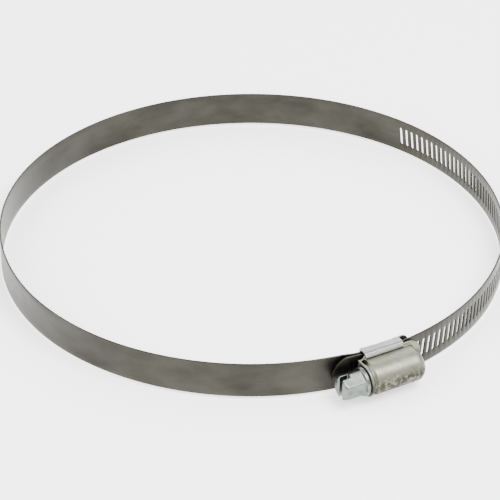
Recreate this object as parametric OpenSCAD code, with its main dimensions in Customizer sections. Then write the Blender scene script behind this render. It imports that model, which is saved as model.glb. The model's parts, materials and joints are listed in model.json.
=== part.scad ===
// Worm-drive hose clamp, lying flat with the hose axis along +Z.
// The origin is the centre of the clamped circle, at the middle of the band's width.
// The screw housing is at -Y, and the screw's head points to -X.

/* [Band] */
// Inner radius of the loop, fully open
loop_r = 87.2; // [80:0.1:95]
// Width of the band
band_w = 12.7; // [12:0.1:13.5]
// Thickness of the band
band_t = 0.6; // [0.5:0.05:0.7]
// Number of plain segments of the band that move
plain_count = 13; // [10:1:16]
// Number of slotted segments of the band
slotted_count = 8; // [7:1:9]
// Distance that the slotted stretch's centre is moved, which lifts its end over the fixed end
lap_shift = 1.1; // [0.9:0.05:1.3]
// Direction of the free tip, seen from the centre of the slotted stretch
tip_angle = -101.5; // [-103:0.1:-101]
// Direction of the first bending line, left of the housing
first_bend_angle = -100; // [-101:0.1:-99.5]
// Gap between neighbouring segments
segment_gap = 0.06; // [0.04:0.01:0.1]

/* [Slots] */
// Distance from slot to slot along the band, equal to the thread's pitch
slot_pitch = 2.54; // [2.4:0.01:2.6]
// Length of a slot across the band, with its round ends
slot_l = 6.8; // [6:0.1:8]
// Width of a slot
slot_w = 1.12; // [0.9:0.02:1.3]
// Lean of the slots, which follows the thread
slot_lean = 7; // [4:0.5:9]
// Slots in one segment
slots_per_segment = 10; // [9:1:11]
// Slots in the first slotted segment, next to the plain band
first_segment_slots = 5; // [3:1:6]
// Slots left out at the free tip
tip_plain_slots = 2; // [2:1:4]

/* [Housing] */
// Height of the screw's axis over the inner face of the loop
screw_h = 7.1; // [7.1:0.05:7.3]
// Outer radius of the dome
dome_r = 5.5; // [5.4:0.05:5.7]
// Bore of the dome, as a radius
dome_bore_r = 4.75; // [4.65:0.05:4.8]
// Position of the dome's mouth along the screw
mouth_x = -10.8; // [-11:0.1:-10.6]
// Position of the dome's nose along the screw
nose_x = 10.2; // [10:0.1:10.8]
// Rounding of the nose
nose_round = 3; // [2.5:0.1:3.2]
// Height of the foot's underside over the inner face of the loop
foot_h = 2.75; // [2.75:0.05:2.9]
// Thickness of the foot
foot_t = 0.7; // [0.6:0.05:0.7]
// Half width of the foot
foot_half_w = 6.5; // [6.4:0.05:6.55]
// End of the foot past the nose
foot_x = 12.6; // [11.5:0.1:13]

/* [Saddle] */
// Thickness of the saddle
saddle_t = 0.5; // [0.45:0.05:0.5]
// Half width of the saddle outside its wings
saddle_half_w = 7.2; // [7.15:0.05:7.3]
// Left end of the wings
wing_left_x = -8.4; // [-9:0.1:-8]
// Right end of the wings
wing_right_x = 6; // [5:0.1:7]
// Right end of the saddle's tongue
tongue_x = 10; // [9:0.1:11]

/* [Screw] */
// Size of the hexagon across its flats
hex_af = 7.94; // [7.9:0.02:8]
// End face of the head along the screw
head_x = -19.8; // [-20.5:0.1:-19]
// Radius of the washer under the hexagon
washer_r = 4.9; // [4.7:0.05:5]
// Crest radius of the thread
crest_r = 4.5; // [4.4:0.05:4.5]
// Core radius of the thread
core_r = 3.6; // [3.4:0.05:3.8]
// Radius of the neck in the dome's mouth
neck_r = 3.95; // [3.8:0.01:3.95]
// Running clearance of the neck and the pilot, as a radius
running_gap = 0.05; // [0.03:0.01:0.08]
// Radius of the pilot in the nose
pilot_r = 2; // [1.8:0.1:2.2]
// Width of the screwdriver slot
drive_slot_w = 1.9; // [1.6:0.1:2.2]
// Depth of the screwdriver slot
drive_slot_d = 3.2; // [2.5:0.1:3.5]

/* [Hidden] */
arc_sides = 180;
round_sides = 64;
slot_sides = 24;
weld = 0.1;
segment_l = slots_per_segment * slot_pitch;
slotted_r = loop_r + lap_shift;
slotted_step = segment_l / (slotted_r + band_t / 2) * 180 / PI;
join_angle = tip_angle + slotted_count * slotted_step;
slotted_centre = [-lap_shift * cos(join_angle), -lap_shift * sin(join_angle), 0];
plain_step = (first_bend_angle - (join_angle - 360)) / plain_count;
fixed_end_lift = 0.6;
flat_end_angle = first_bend_angle + 0.8;
rise_end_angle = -96.8;
held_end_angle = -86.4;
slot_cut_depth = 4;
tip_bulge = 0.3;
tip_cut_depth = 6;
housing_angle = -90;
saddle_arc = 20;
saddle_cut_h = 3;
saddle_corner_r = 3;
window_left_x = -7.9;
window_right_x = 8.3;
thread_left_x = -7.4;
thread_turns = 5.9;
thread_sides = 16;
crest_w = 0.7;
flank_w = 0.35;
lip_w = 1.45;
lip_gap = 0.08;
collar_gap = 0.2;
washer_t = 1.4;
pilot_l = 1.2;
thread_sunk = 0.3;
groove_back = 1.5;
groove_r = 0.8;
groove_out = 0.35;
foot_back = 1;
foot_corner_r = 4.5;
hex_chamfer = 0.1;
chamfer_run = 15;

// A stretch of band between two directions, round the point that is the local origin
module band_arc(r, from, to) {
    trim = segment_gap / 2 / r * 180 / PI;
    rotate([0, 0, from + trim])
        rotate_extrude(angle = to - from - 2 * trim, $fn = arc_sides)
            translate([r, -band_w / 2])
                square([band_t, band_w]);
}

// One slot, cut along the radius that points in the given direction
module slot_cut(r, direction) {
    straight = slot_l - slot_w;
    rotate([0, 0, direction])
        translate([r + band_t / 2, 0, 0])
            rotate([-slot_lean, 0, 0]) {
                cube([slot_cut_depth, slot_w, straight], center = true);
                for (side = [-1, 1])
                    translate([0, 0, side * straight / 2])
                        rotate([0, 90, 0])
                            cylinder(d = slot_w, h = slot_cut_depth, center = true, $fn = slot_sides);
            }
}

// A band segment with slots, counted from the join towards the free tip
module slotted_segment(k) {
    to = join_angle - (k - 1) * slotted_step;
    from = to - slotted_step;
    last = k == slotted_count;
    skipped = k == 1 ? slots_per_segment - first_segment_slots : 0;
    cut_count = last ? slots_per_segment - tip_plain_slots : slots_per_segment;
    slot_step = slotted_step / slots_per_segment;
    translate(slotted_centre)
        difference() {
            if (last)
                round_tip(from) band_arc(slotted_r, from, to);
            else
                band_arc(slotted_r, from, to);
            for (i = [skipped:cut_count - 1])
                slot_cut(slotted_r, to - (i + 0.5) * slot_step);
        }
}

// Rounds the end of the band that lies at the given direction
module round_tip(end_angle) {
    tip_r = band_w / 2 + tip_bulge;
    tip_step = tip_r / slotted_r * 180 / PI;
    intersection() {
        children();
        rotate([0, 0, end_angle + tip_step])
            translate([slotted_r - tip_cut_depth / 2, 0, 0])
                rotate([90, 0, 90])
                    linear_extrude(height = tip_cut_depth) {
                        circle(r = tip_r, $fn = round_sides);
                        translate([0, -band_w])
                            square([segment_l, 2 * band_w]);
                    }
    }
}

module band_slotted(k) {
    color([0.50, 0.50, 0.48])
        slotted_segment(k);
}

module band_plain(k) {
    to = first_bend_angle - (k - 1) * plain_step;
    color([0.47, 0.47, 0.45])
        band_arc(loop_r, to - plain_step, to);
}

// Band end held by the saddle, lifted over the saddle's floor
module band_fixed_end() {
    low = loop_r;
    high = loop_r + fixed_end_lift;
    trim = segment_gap / 2 / loop_r * 180 / PI;
    color([0.45, 0.45, 0.43])
        union() {
            band_arc(low, first_bend_angle, flat_end_angle + trim);
            band_arc(high, rise_end_angle - trim, held_end_angle);
            translate([0, 0, -band_w / 2])
                linear_extrude(height = band_w)
                    polygon([
                        low * direction(flat_end_angle),
                        (low + band_t) * direction(flat_end_angle),
                        (high + band_t) * direction(rise_end_angle),
                        high * direction(rise_end_angle)
                    ]);
        }
}

function direction(angle) = [cos(angle), sin(angle)];

// Moves a shape drawn in the housing's frame: X along the screw, Y outwards, Z across the band
module at_housing() {
    translate([0, -loop_r, 0])
        mirror([0, 1, 0])
            children();
}

// A disc or a tube along the screw, from one position to another
module along_screw(r, from, to) {
    translate([from, screw_h, 0])
        rotate([0, 90, 0])
            cylinder(r = r, h = to - from, $fn = round_sides);
}

// Outline of a plate, square at the left and with rounded corners at the right
module plate_outline(left, right, half_w, corner) {
    translate([left, -half_w])
        square([right - corner - left, 2 * half_w]);
    translate([right - corner - weld, corner - half_w])
        square([corner + weld, 2 * (half_w - corner)]);
    for (side = [-1, 1])
        translate([right - corner, side * (half_w - corner)])
            circle(r = corner, $fn = round_sides);
}

// Extrudes an outline in X and Z outwards, from one height to another
module rise(from, to) {
    translate([0, from, 0])
        mirror([0, 0, 1])
            rotate([-90, 0, 0])
                linear_extrude(height = to - from)
                    children();
}

module nose_cap() {
    translate([nose_x - nose_round, screw_h, 0])
        rotate([0, 90, 0])
            rotate_extrude($fn = round_sides) {
                square([dome_r - nose_round, nose_round]);
                intersection() {
                    translate([dome_r - nose_round, 0])
                        circle(r = nose_round, $fn = round_sides);
                    square([dome_r, nose_round]);
                }
            }
}

module housing_outside() {
    along_screw(dome_r, mouth_x, nose_x - nose_round);
    nose_cap();
    rise(foot_h, screw_h)
        plate_outline(mouth_x, nose_x, dome_r, nose_round);
    rise(foot_h, foot_h + foot_t)
        plate_outline(mouth_x + foot_back, foot_x, foot_half_w, foot_corner_r);
}

module housing() {
    color([0.70, 0.71, 0.67])
        at_housing()
            difference() {
                housing_outside();
                rise(0, foot_h)
                    translate([mouth_x - 1, -2 * dome_r])
                        square([nose_x - mouth_x + 2, 4 * dome_r]);
                along_screw(dome_bore_r, window_left_x, window_right_x);
                rise(foot_h - 1, screw_h)
                    translate([window_left_x, -dome_bore_r])
                        square([window_right_x - window_left_x, 2 * dome_bore_r]);
                along_screw(neck_r + running_gap, mouth_x - 1, 0);
                along_screw(pilot_r + running_gap, 0, window_right_x + pilot_l + collar_gap);
                crimp_groove();
            }
}

// Groove rolled into the dome behind its mouth
module crimp_groove() {
    translate([mouth_x + groove_back, screw_h, 0])
        rotate([0, 90, 0])
            rotate_extrude($fn = round_sides)
                translate([dome_r + groove_out, 0])
                    circle(r = groove_r, $fn = slot_sides);
}

// One wing of the saddle: an upright wall with a lip turned over the foot
module wing(side) {
    lip_bottom = foot_h + foot_t + lip_gap;
    lip_top = lip_bottom + saddle_t;
    wing_l = wing_right_x - wing_left_x;
    wall_z = saddle_half_w - saddle_t;
    mirror([0, 0, side < 0 ? 1 : 0]) {
        translate([wing_left_x, weld, wall_z])
            cube([wing_l, lip_top - saddle_t - weld, saddle_t]);
        translate([wing_left_x, lip_bottom, saddle_half_w - lip_w])
            cube([wing_l, saddle_t, lip_w - saddle_t]);
        translate([wing_left_x, lip_bottom, wall_z])
            rotate([0, 90, 0])
                intersection() {
                    cylinder(r = saddle_t, h = wing_l, $fn = round_sides);
                    translate([-saddle_t, 0, 0])
                        cube([saddle_t, saddle_t, wing_l]);
                }
    }
}

// Floor of the saddle, bent to the loop, with a rounded tongue at the right
module saddle_floor() {
    intersection() {
        rotate([0, 0, housing_angle - saddle_arc / 2])
            rotate_extrude(angle = saddle_arc, $fn = arc_sides)
                translate([loop_r, -saddle_half_w])
                    square([saddle_t, 2 * saddle_half_w]);
        at_housing()
            rise(-saddle_cut_h, saddle_cut_h)
                plate_outline(wing_left_x, tongue_x, saddle_half_w, saddle_corner_r);
    }
}

module saddle() {
    color([0.74, 0.74, 0.72])
        union() {
            saddle_floor();
            at_housing()
                for (side = [-1, 1])
                    wing(side);
        }
}

// A right-handed ridge wound round the screw, as one closed solid
module thread() {
    steps = round(thread_turns * thread_sides);
    root = core_r - thread_sunk;
    profile = [
        [root, -crest_w / 2 - flank_w],
        [crest_r, -crest_w / 2],
        [crest_r, crest_w / 2],
        [root, crest_w / 2 + flank_w]
    ];
    points = [
        for (i = [0:steps])
            for (p = profile)
                let (turn = 360 * i / thread_sides)
                    [
                        thread_left_x + slot_pitch * i / thread_sides + p[1],
                        p[0] * cos(turn),
                        p[0] * sin(turn)
                    ]
    ];
    sides = [
        for (i = [0:steps - 1])
            for (j = [0:3])
                let (a = 4 * i + j, b = 4 * i + (j + 1) % 4)
                    each [[a, b, b + 4], [a, b + 4, a + 4]]
    ];
    last = 4 * steps;
    ends = [[3, 2, 1, 0], [last, last + 1, last + 2, last + 3]];
    polyhedron(points = points, faces = concat(sides, ends));
}

module hex_head() {
    corner_r = hex_af / sqrt(3);
    washer_left = mouth_x - collar_gap - washer_t;
    difference() {
        union() {
            intersection() {
                translate([head_x, screw_h, 0])
                    rotate([0, 90, 0])
                        cylinder(r = corner_r, h = washer_left - head_x + weld, $fn = 6);
                translate([head_x, screw_h, 0])
                    rotate([0, 90, 0])
                        cylinder(
                            r1 = hex_af / 2 - hex_chamfer,
                            r2 = hex_af / 2 - hex_chamfer + chamfer_run,
                            h = chamfer_run,
                            $fn = round_sides
                        );
            }
            along_screw(washer_r, washer_left, washer_left + washer_t);
        }
        translate([head_x - 1, screw_h - drive_slot_w / 2, -2 * hex_af])
            cube([drive_slot_d + 1, drive_slot_w, 4 * hex_af]);
    }
}

module screw() {
    color([0.62, 0.65, 0.63])
        at_housing() {
            hex_head();
            along_screw(neck_r, mouth_x - collar_gap - weld, window_left_x + weld);
            along_screw(core_r, window_left_x, window_right_x - collar_gap);
            along_screw(pilot_r, 0, window_right_x + pilot_l);
            translate([0, screw_h, 0])
                mirror([0, 1, 0])
                    thread();
        }
}

housing();
saddle();
screw();
band_fixed_end();
for (k = [1:plain_count])
    band_plain(k);
for (k = [1:slotted_count])
    band_slotted(k);
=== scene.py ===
"""Worm-drive hose clamp: the visible meshes and their materials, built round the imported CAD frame."""
import json
import math

import bpy
import bmesh
from mathutils import Matrix, Vector, noise


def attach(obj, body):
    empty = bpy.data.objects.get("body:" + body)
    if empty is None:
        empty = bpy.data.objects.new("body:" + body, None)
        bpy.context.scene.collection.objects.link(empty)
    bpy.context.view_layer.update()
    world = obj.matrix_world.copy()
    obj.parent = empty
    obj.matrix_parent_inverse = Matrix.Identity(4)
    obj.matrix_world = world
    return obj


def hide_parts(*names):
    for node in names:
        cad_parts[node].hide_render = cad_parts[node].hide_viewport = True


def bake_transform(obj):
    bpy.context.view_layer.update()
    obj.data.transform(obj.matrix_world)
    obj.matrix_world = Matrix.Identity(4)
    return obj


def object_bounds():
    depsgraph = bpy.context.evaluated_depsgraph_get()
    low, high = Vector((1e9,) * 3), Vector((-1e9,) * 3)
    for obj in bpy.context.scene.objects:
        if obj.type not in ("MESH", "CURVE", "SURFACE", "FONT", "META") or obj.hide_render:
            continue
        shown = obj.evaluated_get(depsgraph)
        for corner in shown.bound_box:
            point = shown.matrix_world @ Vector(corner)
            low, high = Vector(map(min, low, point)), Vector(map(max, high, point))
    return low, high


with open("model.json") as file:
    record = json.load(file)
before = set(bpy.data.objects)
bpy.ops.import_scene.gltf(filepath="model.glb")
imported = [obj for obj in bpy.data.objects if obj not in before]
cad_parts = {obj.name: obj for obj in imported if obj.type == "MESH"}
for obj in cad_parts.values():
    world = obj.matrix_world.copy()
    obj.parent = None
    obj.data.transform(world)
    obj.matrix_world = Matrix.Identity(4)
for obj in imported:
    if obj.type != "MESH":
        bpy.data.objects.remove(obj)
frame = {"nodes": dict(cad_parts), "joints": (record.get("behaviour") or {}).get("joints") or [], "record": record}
cad_low, cad_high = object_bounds()

# Lengths are in metres, except where a comment says millimetres
MM = 0.001

# Band: its section, and how far the slotted stretch runs outside the plain one
BAND_W = 12.7 * MM
BAND_T = 0.6 * MM
EDGE_BEVEL = 0.14 * MM
EDGE_TURNS = [math.radians(angle) for angle in (30, 60, 90)]
LAP_SHIFT = 1.1 * MM

# Held end: the direction it is cut at, where it starts to bend, and its rise over the saddle
HELD_ANGLE = math.radians(-86.4)
BEND_START_ANGLE = math.radians(-98.0)
RISE_ANGLES = (math.radians(-99.6), math.radians(-96.4))
HELD_LIFT = 0.6 * MM

# Round tip: its radius, and half the width that it starts with
TIP_R = BAND_W / 2 + 0.3 * MM
TIP_HALF_W = 1.2 * MM

# Slots: how many a segment has, and how many are left out before the first and after the last
SLOTS_PER_SEGMENT = 10
FIRST_BLANKS = 5
TIP_BLANKS = 2

# One slot: its size and lean, its bevel, and the share of the bevel left halfway down it
SLOT_L = 6.8 * MM
SLOT_W = 1.12 * MM
SLOT_LEAN = math.radians(7.0)
SLOT_BEVEL = 0.07 * MM
SLOT_BEVEL_MIDDLE = 0.3

# Mesh of the band: length of a plain column, columns of a slot's cell and of the tip, rows across
PLAIN_STEP = 1.3 * MM
CELL_COLUMNS = 6
TIP_COLUMNS = 14
ROWS = 6

# Faces that meet at more than the first angle stay sharp; directions within the second are the same
SHARP_ANGLE = math.radians(50)
SAME_ANGLE = 1e-4

# Unevenness: two waves round the loop, which fade out over these angles at the tip and the held end
WAVE_DEPTH = 0.05 * MM
LONG_WAVES = 7
LONG_PHASE = 0.6
SHORT_WAVES = 13
SHORT_TWIST = 40
TIP_FADE = 0.1
HELD_FADE = 0.05

# Direction, height across the band, size and depth of each dent
DENTS = [
    (math.radians(-193), 1.5 * MM, 2.2 * MM, 0.16 * MM),
    (math.radians(-189), -2.0 * MM, 1.6 * MM, 0.12 * MM),
    (math.radians(-178), 2.5 * MM, 1.8 * MM, 0.10 * MM),
    (math.radians(-134), -1.0 * MM, 2.6 * MM, 0.14 * MM),
    (math.radians(-122), 2.0 * MM, 2.0 * MM, 0.10 * MM),
    (math.radians(-262), 0.5 * MM, 2.4 * MM, 0.10 * MM),
]

# Pressed parts and screw, in millimetres: the voxel and the smoothing passes that round each one
HOUSING_ROUNDING = (0.16, 7)
SADDLE_ROUNDING = (0.12, 6)
SCREW_ROUNDING = (0.14, 30)

# Saddle's wings, in millimetres: radius of the fold, and where its top and its side lie
FOLD_R = 1.7
FOLD_TOP = 4.03
FOLD_SIDE = 7.2

# Foot's ears at the mouth, in millimetres: how far out they reach, where they grow to full width,
# and the share that is kept of what stands past that
EAR_Z = 5.3
EAR_RISE = 1.4
EAR_X = (-9.6, -8.3)
EAR_KEPT = 0.1

# Groove behind the mouth, in millimetres, pressed deeper round the screw's axis
SCREW_H = 7.1
GROOVE_X = -9.3
GROOVE_HALF = 0.55
GROOVE_DEPTH = 0.42
GROOVE_FROM_R = 4.7

# Rubbed dents low on the dome, in millimetres, with the scale of each noise per millimetre
RUB_TOP = 3.6
RUB_FADE = 3.0
RUB_DEPTH = 0.09
RUB_SCALE = 1.1
FINE_RUB_SCALE = 2.6
DOME_UNEVENNESS = 0.02
DOME_UNEVENNESS_SCALE = 0.5

# Stage: the floor's half size, its gap under the clamp, and the light from all round
FLOOR_SIZE = 6.0
FLOOR_GAP = 0.2 * MM
WORLD_STRENGTH = 1.9

# Each light's name, its place to the camera's right, away from it and up, its size and its power
LIGHTS = [
    ("key", (0.35, -0.35, 0.8), (0.5, 0.5), 16),
    ("fill", (-0.6, -0.2, 0.5), (0.6, 0.6), 4),
    ("rim", (0.1, 0.8, 0.5), (0.8, 0.3), 4),
]

# Camera: its direction round the clamp, its elevation and distance, its lens and its shift
CAMERA_TURN = math.radians(-119.0)
CAMERA_ELEVATION = math.radians(32.8)
CAMERA_DISTANCE = 0.8196
CAMERA_LENS = 167.9
CAMERA_SENSOR = 36.0
CAMERA_SHIFT = (-0.002, -0.0358)
CAMERA_CLIP = (0.01, 20)


# ---------------------------------------------------------------- materials

def grey(value):
    return (value, value, value)


class Finish:
    """A node material for one surface. Its methods add a node and give the socket with the result."""

    def __init__(self, name):
        self.material = bpy.data.materials.new(name)
        self.material.use_nodes = True
        self.nodes = self.material.node_tree.nodes
        self.links = self.material.node_tree.links
        self.shader = self.nodes["Principled BSDF"]

    def place(self):
        """Coordinates in the piece's own frame, in metres."""
        return self.nodes.new("ShaderNodeTexCoord").outputs["Object"]

    def scaled(self, vector, scale):
        """The vector with each axis multiplied, as pattern coordinates."""
        node = self.nodes.new("ShaderNodeMapping")
        node.inputs["Scale"].default_value = scale
        self.links.new(vector, node.inputs["Vector"])
        return node.outputs["Vector"]

    def noise(self, vector, scale, detail=4.0, roughness=0.55):
        node = self.nodes.new("ShaderNodeTexNoise")
        node.inputs["Scale"].default_value = scale
        node.inputs["Detail"].default_value = detail
        node.inputs["Roughness"].default_value = roughness
        self.links.new(vector, node.inputs["Vector"])
        return node.outputs["Fac"]

    def lines(self, vector, along, across, detail):
        """Noise drawn out along the vector's first axis, as rolling and brushing leave it."""
        return self.noise(self.scaled(vector, (along, across, across)), 1.0, detail)

    def ramp(self, source, *stops):
        """A colour ramp over a value. stops are (position, colour)."""
        node = self.nodes.new("ShaderNodeValToRGB")
        elements = node.color_ramp.elements
        while len(elements) < len(stops):
            elements.new(0.5)
        for element, (position, colour) in zip(elements, stops):
            element.position = position
            element.color = (*colour, 1.0)
        self.links.new(source, node.inputs["Fac"])
        return node.outputs["Color"]

    def maths(self, operation, first, second):
        """One operation on two values, each a socket or a number."""
        node = self.nodes.new("ShaderNodeMath")
        node.operation = operation
        for socket, value in zip(node.inputs, (first, second)):
            if isinstance(value, bpy.types.NodeSocket):
                self.links.new(value, socket)
            else:
                socket.default_value = value
        return node.outputs["Value"]

    def weighted(self, *parts):
        """The sum of several sockets, each multiplied by its weight. parts are (socket, weight)."""
        total = None
        for socket, weight in parts:
            part = self.maths("MULTIPLY", socket, weight)
            total = part if total is None else self.maths("ADD", total, part)
        return total

    def mixed(self, factor, first, second):
        """A colour socket turned into a plain colour by a factor."""
        node = self.nodes.new("ShaderNodeMix")
        node.data_type = "RGBA"
        self.links.new(factor, node.inputs[0])
        self.links.new(first, node.inputs[6])
        node.inputs[7].default_value = (*second, 1.0)
        return node.outputs[2]

    def multiplied(self, first, second):
        """The product of two colour sockets."""
        node = self.nodes.new("ShaderNodeMix")
        node.data_type = "RGBA"
        node.blend_type = "MULTIPLY"
        node.inputs[0].default_value = 1.0
        self.links.new(first, node.inputs[6])
        self.links.new(second, node.inputs[7])
        return node.outputs[2]

    def metal(self, colour, roughness, height, depth, strength):
        """Bare metal with this colour, roughness and relief."""
        self.links.new(colour, self.shader.inputs["Base Color"])
        self.links.new(roughness, self.shader.inputs["Roughness"])
        self.shader.inputs["Metallic"].default_value = 1.0
        bump = self.nodes.new("ShaderNodeBump")
        bump.inputs["Strength"].default_value = strength
        bump.inputs["Distance"].default_value = depth
        self.links.new(height, bump.inputs["Height"])
        self.links.new(bump.outputs["Normal"], self.shader.inputs["Normal"])
        return self.material


def band_steel():
    """Rolled stainless strip: fine lines along the strip, soft stains, dull and bright patches."""
    stained = (0.026, 0.0250, 0.0195)
    clean = (0.054, 0.0515, 0.044)
    finish = Finish("band_steel")
    where = finish.nodes.new("ShaderNodeAttribute")
    where.attribute_name = "strip"
    strip = where.outputs["Vector"]
    rolled = finish.lines(strip, 60, 6000, 3.0)
    fine = finish.lines(strip, 300, 14000, 2.0)
    patches = finish.lines(strip, 45, 90, 4.0)
    grain = finish.noise(strip, 2500.0, 2.0)
    base = finish.ramp(patches, (0.30, stained), (0.70, clean))
    streak = finish.ramp(rolled, (0.25, grey(0.88)), (0.75, grey(1.0)))
    rough = finish.ramp(finish.weighted((rolled, 0.5), (patches, 0.5)), (0.3, grey(0.30)), (0.7, grey(0.46)))
    height = finish.weighted((rolled, 0.6), (fine, 0.3), (grain, 0.25))
    return finish.metal(finish.multiplied(base, streak), rough, height, 0.012 * MM, 0.8)


def housing_steel():
    """Pressed and tumbled stainless: pale, slightly yellow, with rubbed dark marks low on the dome."""
    yellowed = (0.165, 0.167, 0.118)
    dull = (0.205, 0.207, 0.162)
    bright = (0.235, 0.237, 0.210)
    rubbed = (0.026, 0.024, 0.017)
    marks_top = 3.6 * MM
    marks_fade = 4.0 * MM
    finish = Finish("housing_steel")
    place = finish.place()
    axes = finish.nodes.new("ShaderNodeSeparateXYZ")
    finish.links.new(place, axes.inputs["Vector"])
    clouds = finish.noise(place, 260.0, 5.0)
    specks = finish.noise(place, 750.0, 5.0, 0.65)
    grain = finish.noise(place, 5200.0, 2.0)
    base = finish.ramp(clouds, (0.30, yellowed), (0.55, dull), (0.75, bright))
    below = finish.maths("SUBTRACT", marks_top, axes.outputs["Z"])
    low = finish.ramp(finish.maths("DIVIDE", below, marks_fade), (0.0, grey(0.0)), (0.75, grey(1.0)))
    mottled = finish.ramp(specks, (0.41, grey(0.35)), (0.53, grey(1.0)))
    worn = finish.maths("MULTIPLY", low, mottled)
    colour = finish.mixed(finish.maths("MULTIPLY", worn, 0.9), base, rubbed)
    rough = finish.ramp(finish.weighted((specks, 0.5), (worn, 0.3)), (0.15, grey(0.38)), (0.6, grey(0.58)))
    height = finish.weighted((specks, 0.7), (grain, 0.3))
    return finish.metal(colour, rough, height, 0.05 * MM, 0.7)


def saddle_steel():
    """Bright pressed stainless with a brushed run along the fold."""
    finish = Finish("saddle_steel")
    place = finish.place()
    brushed = finish.lines(place, 120, 3200, 3.0)
    clouds = finish.noise(place, 320.0, 4.0)
    grain = finish.noise(place, 4200.0, 2.0)
    base = finish.ramp(clouds, (0.3, (0.20, 0.20, 0.197)), (0.7, (0.30, 0.30, 0.297)))
    rough = finish.ramp(brushed, (0.25, grey(0.24)), (0.75, grey(0.42)))
    height = finish.weighted((brushed, 0.6), (grain, 0.4))
    return finish.metal(base, rough, height, 0.03 * MM, 0.7)


def screw_steel():
    """Zinc-plated steel: cool greenish grey, satin, with painted shade darkening the hollows and a painted
    highlight brightening the edges.
    """
    finish = Finish("screw_zinc")
    place = finish.place()
    clouds = finish.noise(place, 420.0, 4.0)
    grain = finish.noise(place, 3800.0, 3.0)
    edges = finish.nodes.new("ShaderNodeNewGeometry").outputs["Pointiness"]
    base = finish.ramp(clouds, (0.3, (0.085, 0.096, 0.088)), (0.7, (0.165, 0.180, 0.167)))
    # painted light from pointiness: painted shade darkens the hollows and a painted highlight brightens the edges
    edge = finish.ramp(edges, (0.44, grey(0.62)), (0.50, grey(1.0)), (0.56, grey(1.25)))
    rough = finish.ramp(clouds, (0.3, grey(0.26)), (0.7, grey(0.40)))
    return finish.metal(finish.multiplied(base, edge), rough, grain, 0.03 * MM, 0.6)


def floor_paint():
    """A plain pale floor with the faintest unevenness, which glows a little to stay pale."""
    finish = Finish("floor_paint")
    clouds = finish.noise(finish.place(), 3.0, 2.0)
    base = finish.ramp(clouds, (0.3, grey(0.96)), (0.7, grey(0.97)))
    finish.links.new(base, finish.shader.inputs["Base Color"])
    finish.links.new(base, finish.shader.inputs["Emission Color"])
    finish.shader.inputs["Emission Strength"].default_value = 1.2
    finish.shader.inputs["Roughness"].default_value = 0.9
    finish.shader.inputs["Specular IOR Level"].default_value = 0.1
    return finish.material


# ---------------------------------------------------------------- the band's shape

def unwrapped(points, centre, start):
    """Directions of points seen from a centre, each one lower than the one before it."""
    found = []
    for point in points:
        angle = math.atan2(point[1] - centre.y, point[0] - centre.x)
        while angle > start + SAME_ANGLE:
            angle -= 2 * math.pi
        found.append(angle)
        start = angle
    return found


def hinge_points(prefix):
    return [joint["pos_m"] for joint in frame["joints"] if joint["name"].startswith(prefix)]


seat = next(mount for mount in frame["record"]["mounts"] if mount["name"] == "hose_seat")
LOOP_R = seat["dims"]["r_mm"] * MM
SLOTTED_R = LOOP_R + LAP_SHIFT
ORIGIN = Vector((0, 0, 0))
plain_angles = unwrapped(hinge_points("bend_plain"), ORIGIN, HELD_ANGLE)
JOIN = unwrapped(hinge_points("bend_slotted")[:1], ORIGIN, plain_angles[-1])[0]
SLOTTED_CENTRE = Vector((-LAP_SHIFT * math.cos(JOIN), -LAP_SHIFT * math.sin(JOIN), 0))
slotted_angles = unwrapped(hinge_points("bend_slotted"), SLOTTED_CENTRE, plain_angles[-1])
SLOTTED_STEP = slotted_angles[0] - slotted_angles[1]
CELL = SLOTTED_STEP / SLOTS_PER_SEGMENT
SLOTS_START = slotted_angles[0] - FIRST_BLANKS * CELL
TIP = slotted_angles[-1] - SLOTTED_STEP
SLOTS_END = TIP + TIP_BLANKS * CELL
bends = plain_angles + slotted_angles
moving_links = [joint["child"] for joint in frame["joints"] if joint["name"].startswith("bend_")]
links_of_band = ["band_fixed_end"] + moving_links
bodies_of_band = ["housing"] + moving_links


def smooth_step(low, high, x):
    """Rises from 0 to 1 as x goes from low to high."""
    t = min(max((x - low) / (high - low), 0.0), 1.0)
    return t * t * (3 - 2 * t)


def unevenness(angle, z):
    """How far the strip lies inside its true circle: faint waves, and a few dents on the plain side."""
    long_wave = math.sin(LONG_WAVES * angle + LONG_PHASE)
    short_wave = math.sin(SHORT_WAVES * angle + SHORT_TWIST * z / BAND_W)
    depth = WAVE_DEPTH * (0.5 + 0.25 * long_wave + 0.25 * short_wave)
    for dent_angle, dent_z, size, deep in DENTS:
        away = ((angle - dent_angle) * LOOP_R / size) ** 2 + ((z - dent_z) / size) ** 2
        depth += deep * math.exp(-away)
    past_tip = smooth_step(TIP, TIP + TIP_FADE, angle)
    past_held_end = smooth_step(HELD_ANGLE, plain_angles[0] - HELD_FADE, angle)
    return depth * past_tip * past_held_end


def on_band(angle, z, n):
    """The point on the strip at a direction, a height and a depth from its inner face."""
    if angle >= JOIN:
        centre = ORIGIN
        r = LOOP_R + HELD_LIFT * smooth_step(RISE_ANGLES[0], RISE_ANGLES[1], angle)
    else:
        centre = SLOTTED_CENTRE
        r = SLOTTED_R
    r += n - unevenness(angle, z)
    return Vector((centre.x + r * math.cos(angle), centre.y + r * math.sin(angle), z))


def run_length(angle):
    """Length along the strip from its held end."""
    return (HELD_ANGLE - angle) * (LOOP_R + BAND_T / 2)


def half_width(angle):
    """Half the strip's width at a direction, less near the round tip."""
    past = TIP_R - (angle - TIP) * SLOTTED_R
    if past <= 0:
        return BAND_W / 2
    return min(BAND_W / 2, math.sqrt(max(TIP_R ** 2 - past ** 2, TIP_HALF_W ** 2)))


def rows_across(half):
    """Heights of the rows across a face, from one side to the other."""
    return [half * (2 * row / ROWS - 1) for row in range(ROWS + 1)]


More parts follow.
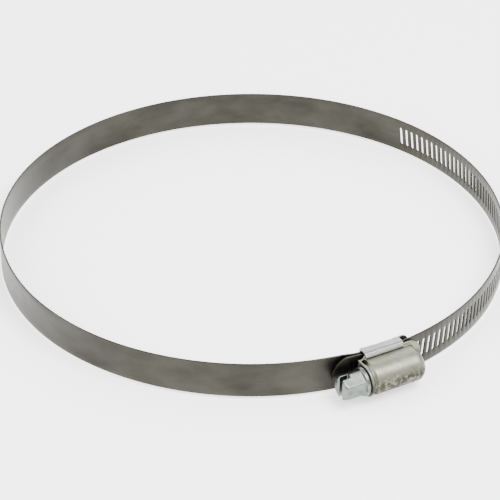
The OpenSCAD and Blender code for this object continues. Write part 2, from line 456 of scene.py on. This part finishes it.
def slot_outline(grow):
    """The slot's outline as (u, z), in the order of its cell's frame.

    The right side runs up, then come the top, the left side down and the bottom.
    """
    r = SLOT_W / 2 + grow
    straight = (SLOT_L - SLOT_W) / 2
    arc = [math.pi * column / CELL_COLUMNS for column in range(1, CELL_COLUMNS)]
    right = [(r, z) for z in rows_across(straight)]
    top = [(r * math.cos(turn), straight + r * math.sin(turn)) for turn in arc]
    left = [(-u, z) for u, z in reversed(right)]
    bottom = [(-u, -z) for u, z in top]
    cos_lean = math.cos(SLOT_LEAN)
    sin_lean = math.sin(SLOT_LEAN)
    outline = right + top + left + bottom
    return [(u * cos_lean + z * sin_lean, z * cos_lean - u * sin_lean) for u, z in outline]


def slot_levels():
    """The outlines down a slot's wall, bevelled at both faces, as (growth, depth from the inner face)."""
    middle_bevel = SLOT_BEVEL_MIDDLE * SLOT_BEVEL
    outer = [(SLOT_BEVEL, BAND_T), (middle_bevel, BAND_T - middle_bevel), (0, BAND_T - SLOT_BEVEL)]
    inner = [(grow, BAND_T - n) for grow, n in reversed(outer)]
    return outer + inner


class Strip:
    """Collects the vertices and faces of one piece of the band."""

    def __init__(self):
        self.points = []
        self.places = []
        self.faces = []

    def vert(self, angle, z, n):
        self.points.append(on_band(angle, z, n))
        self.places.append((run_length(angle), z, n))
        return len(self.points) - 1

    def quads(self, first, second, closed):
        """Faces between two rows of vertices."""
        count = len(first)
        for i in range(count if closed else count - 1):
            j = (i + 1) % count
            self.faces.append((first[i], first[j], second[j], second[i]))

    def section(self, angle):
        """One closed outline across the strip: outer rows, upper edge, inner rows, lower edge."""
        half = half_width(angle)
        rows = rows_across(half - EDGE_BEVEL)
        return {
            "outer": [self.vert(angle, z, BAND_T) for z in rows],
            "upper": self.edge(angle, half, 1),
            "inner": [self.vert(angle, z, 0) for z in reversed(rows)],
            "lower": self.edge(angle, half, -1),
        }

    def edge(self, angle, half, side):
        """The rounded edge between the two faces, from outer to inner above, and back below."""
        r = EDGE_BEVEL
        outer = [(half - r + r * math.sin(turn), BAND_T - r + r * math.cos(turn)) for turn in EDGE_TURNS]
        inner = [(z, BAND_T - n) for z, n in reversed(outer)]
        path = outer + inner
        if side < 0:
            path.reverse()
        return [self.vert(angle, side * z, n) for z, n in path]

    def rim(self, section, side):
        """One edge of a section, with the last vertex of each face beside it."""
        if side == "upper":
            return [section["outer"][-1]] + section["upper"] + [section["inner"][0]]
        return [section["inner"][-1]] + section["lower"] + [section["outer"][0]]

    def whole(self, section):
        return section["outer"] + section["upper"] + section["inner"] + section["lower"]

    def cap(self, section):
        self.faces.append(tuple(self.whole(section)))

    def run(self, section, angles):
        """Carries the strip on from a section through more directions. Gives the last section."""
        for angle in angles:
            following = self.section(angle)
            self.quads(self.whole(section), self.whole(following), True)
            section = following
        return section

    def slot_cell(self, section, start):
        """Carries the strip on by one cell with a slot: rings join each face's frame to the slot."""
        sections = [section]
        for column in range(1, CELL_COLUMNS + 1):
            sections.append(self.section(start - CELL * column / CELL_COLUMNS))
        for near, far in zip(sections, sections[1:]):
            for side in ("upper", "lower"):
                self.quads(self.rim(near, side), self.rim(far, side), False)
        first, *between, last = sections
        outer_frame = (first["outer"] + [s["outer"][-1] for s in between]
                       + last["outer"][::-1] + [s["outer"][0] for s in reversed(between)])
        inner_frame = (first["inner"][::-1] + [s["inner"][0] for s in between]
                       + last["inner"] + [s["inner"][-1] for s in reversed(between)])
        slot_angle = start - CELL / 2
        rings = [outer_frame]
        for grow, n in slot_levels():
            rings.append([self.vert(slot_angle + u / SLOTTED_R, z, n) for u, z in slot_outline(grow)])
        rings.append(inner_frame)
        for near, far in zip(rings, rings[1:]):
            self.quads(near, far, True)
        return last

    def build(self, name, mat):
        mesh = bpy.data.meshes.new(name)
        mesh.from_pydata([tuple(point) for point in self.points], [], self.faces)
        strip = mesh.attributes.new("strip", "FLOAT_VECTOR", "POINT")
        strip.data.foreach_set("vector", [number for place in self.places for number in place])
        facing = bmesh.new()
        facing.from_mesh(mesh)
        bmesh.ops.recalc_face_normals(facing, faces=facing.faces)
        facing.to_mesh(mesh)
        facing.free()
        mesh.shade_smooth()
        mesh.set_sharp_from_angle(angle=SHARP_ANGLE)
        mesh.materials.append(mat)
        piece = bpy.data.objects.new(name, mesh)
        bpy.context.scene.collection.objects.link(piece)
        return piece


def band_piece(name, start, end, mat):
    """A stretch of the strip between two directions: what falls in it of the plain run, slots and tip."""
    strip = Strip()
    section = strip.section(start)
    strip.cap(section)
    plain_end = max(end, SLOTS_START)
    if start > plain_end + SAME_ANGLE:
        count = max(2, round((start - plain_end) * LOOP_R / PLAIN_STEP))
        section = strip.run(section, [start + (plain_end - start) * i / count for i in range(1, count + 1)])
    at = min(start, plain_end)
    while at > max(end, SLOTS_END) + SAME_ANGLE:
        section = strip.slot_cell(section, at)
        at -= CELL
    if at > end + SAME_ANGLE:
        turns = [math.pi / 2 * i / TIP_COLUMNS for i in range(1, TIP_COLUMNS + 1)]
        section = strip.run(section, [at + (end - at) * math.sin(turn) for turn in turns])
    strip.cap(section)
    return strip.build(name, mat)


def middle(k):
    """Direction of the middle of segment k, or where the band's first and last pieces end."""
    if k == 0:
        return HELD_ANGLE
    if k == len(bends):
        return slotted_angles[-1] - SLOTTED_STEP / 2
    return (bends[k - 1] + bends[k]) / 2


def make_band(mat):
    """One piece across each bending line, from the middle of one segment to the middle of the next."""
    for k in range(len(bends)):
        start = middle(k)
        end = middle(k + 1)
        piece = band_piece(f"strip_{k:02d}", start, end, mat)
        bend_from = on_band(BEND_START_ANGLE if k == 0 else start, 0, 0)
        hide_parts(links_of_band[k])
        on_band(end, 0, 0)
        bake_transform(piece)
    tip = band_piece("strip_tip", middle(len(bends)), TIP, mat)
    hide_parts(links_of_band[-1])
    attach(tip, bodies_of_band[-1])


# ---------------------------------------------------------------- pressed parts and the screw

def cad_copy(node, name):
    """A copy of a CAD node's mesh in millimetres, as a new object."""
    mesh = frame["nodes"][node].data.copy()
    mesh.name = name
    mesh.materials.clear()
    mesh.transform(Matrix.Scale(1 / MM, 4))
    piece = bpy.data.objects.new(name, mesh)
    bpy.context.scene.collection.objects.link(piece)
    return piece


def with_modifiers(piece, *settings):
    """Applies modifiers one after another. Each is (type, {property: value})."""
    for kind, values in settings:
        modifier = piece.modifiers.new(kind.lower(), kind)
        for key, value in values.items():
            setattr(modifier, key, value)
    bpy.context.view_layer.update()
    made = bpy.data.meshes.new_from_object(piece.evaluated_get(bpy.context.evaluated_depsgraph_get()))
    piece.modifiers.clear()
    old = piece.data
    piece.data = made
    bpy.data.meshes.remove(old)
    return piece


def rounded(piece, voxel, passes):
    """Rounds every edge as pressing and tumbling do: remeshed finely, then smoothed."""
    return with_modifiers(piece, ("REMESH", {"mode": "VOXEL", "voxel_size": voxel}),
                          ("SMOOTH", {"factor": 0.5, "iterations": passes}))


def finish_piece(piece, mat, body, node):
    """Brings a piece from millimetres to metres, gives it its material and body, and hides the CAD node it stands
    in for.
    """
    piece.data.transform(Matrix.Scale(MM, 4))
    piece.data.shade_smooth()
    piece.data.materials.clear()
    piece.data.materials.append(mat)
    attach(piece, body)
    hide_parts(node)
    return piece


def height(at):
    """Height of a point over the inner face of the loop at the housing, in millimetres."""
    return -at.y - LOOP_R / MM


def reshape(piece, move):
    """Moves every vertex of a piece to where move(position, normal) puts it."""
    moved = [move(vertex.co.copy(), vertex.normal.copy()) for vertex in piece.data.vertices]
    piece.data.vertices.foreach_set("co", [number for at in moved for number in at])
    piece.data.update()


def dented(at, normal):
    """Dents in the dome's lower side, and a faint unevenness all over."""
    low = min(max((RUB_TOP - at.z) / RUB_FADE, 0.0), 1.0)
    rub = noise.noise(at * RUB_SCALE) + 0.5 * noise.noise(at * FINE_RUB_SCALE)
    wave = noise.noise(at * DOME_UNEVENNESS_SCALE) + 1
    return at - normal * (RUB_DEPTH * low * max(rub, 0.0) + DOME_UNEVENNESS * wave)


def worn_dome(at, normal):
    """Dents the dome's lower side, deepens the groove and rounds off the foot's ears at the mouth."""
    moved = dented(at, normal)
    outwards = Vector((0, SCREW_H - height(at), at.z))
    if outwards.length > GROOVE_FROM_R:
        near = math.exp(-((at.x - GROOVE_X) / GROOVE_HALF) ** 2)
        moved -= outwards.normalized() * GROOVE_DEPTH * near
    ear_limit = EAR_Z + EAR_RISE * smooth_step(EAR_X[0], EAR_X[1], at.x)
    past_limit = abs(moved.z) - ear_limit
    if past_limit > 0:
        moved.z = math.copysign(ear_limit + EAR_KEPT * past_limit, moved.z)
    return moved


def round_fold(at, _normal):
    """Turns the square corner of each wing into a round fold."""
    up = height(at) - (FOLD_TOP - FOLD_R)
    out = abs(at.z) - (FOLD_SIDE - FOLD_R)
    if up <= 0 or out <= 0:
        return at
    scale = max(up, out) / math.hypot(up, out)
    side = math.copysign(FOLD_SIDE - FOLD_R + out * scale, at.z)
    return Vector((at.x, at.y + up * (1 - scale), side))


def make_housing(mat):
    piece = rounded(cad_copy("housing", "housing_shell"), *HOUSING_ROUNDING)
    reshape(piece, worn_dome)
    return finish_piece(piece, mat, "housing", "housing")


def make_saddle(mat):
    piece = rounded(cad_copy("saddle", "saddle_strap"), *SADDLE_ROUNDING)
    reshape(piece, round_fold)
    return finish_piece(piece, mat, "housing", "saddle")


def make_screw(mat):
    piece = rounded(cad_copy("screw", "worm_screw"), *SCREW_ROUNDING)
    return finish_piece(piece, mat, "screw", "screw")


# ---------------------------------------------------------------- stage, lights, camera

def make_floor(mat):
    level = cad_low[2] - FLOOR_GAP
    corners = [(x * FLOOR_SIZE, y * FLOOR_SIZE, level) for x, y in ((-1, -1), (1, -1), (1, 1), (-1, 1))]
    mesh = bpy.data.meshes.new("floor")
    mesh.from_pydata(corners, [], [(0, 1, 2, 3)])
    mesh.materials.append(mat)
    floor = bpy.data.objects.new("floor", mesh)
    bpy.context.scene.collection.objects.link(floor)


def turned(x, y, z):
    """A place given with X to the camera's right and Y away from the camera, in the clamp's frame."""
    turn = CAMERA_TURN + math.pi / 2
    return (x * math.cos(turn) - y * math.sin(turn), x * math.sin(turn) + y * math.cos(turn), z)


def area_light(name, at, size, power):
    """A soft light that faces the clamp."""
    data = bpy.data.lights.new(name, "AREA")
    data.shape = "RECTANGLE"
    data.size = size[0]
    data.size_y = size[1]
    data.energy = power
    light = bpy.data.objects.new(name, data)
    light.location = at
    light.rotation_euler = (-Vector(at)).to_track_quat("-Z", "Y").to_euler()
    bpy.context.scene.collection.objects.link(light)


def make_lights():
    world = bpy.data.worlds.new("studio")
    world.use_nodes = True
    background = world.node_tree.nodes["Background"]
    background.inputs["Color"].default_value = (1.0, 1.0, 1.0, 1.0)
    background.inputs["Strength"].default_value = WORLD_STRENGTH
    bpy.context.scene.world = world
    for name, place, size, power in LIGHTS:
        area_light(name, turned(*place), size, power)


def make_camera():
    data = bpy.data.cameras.new("camera")
    data.lens = CAMERA_LENS
    data.sensor_width = CAMERA_SENSOR
    data.shift_x = CAMERA_SHIFT[0]
    data.shift_y = CAMERA_SHIFT[1]
    data.clip_start = CAMERA_CLIP[0]
    data.clip_end = CAMERA_CLIP[1]
    camera = bpy.data.objects.new("camera", data)
    flat = CAMERA_DISTANCE * math.cos(CAMERA_ELEVATION)
    up = CAMERA_DISTANCE * math.sin(CAMERA_ELEVATION)
    camera.location = (flat * math.cos(CAMERA_TURN), flat * math.sin(CAMERA_TURN), up)
    camera.rotation_euler = (-camera.location).to_track_quat("-Z", "Y").to_euler()
    bpy.context.scene.collection.objects.link(camera)
    bpy.context.scene.camera = camera


make_camera()
make_lights()
make_floor(floor_paint())
make_band(band_steel())
make_housing(housing_steel())
make_saddle(saddle_steel())
make_screw(screw_steel())
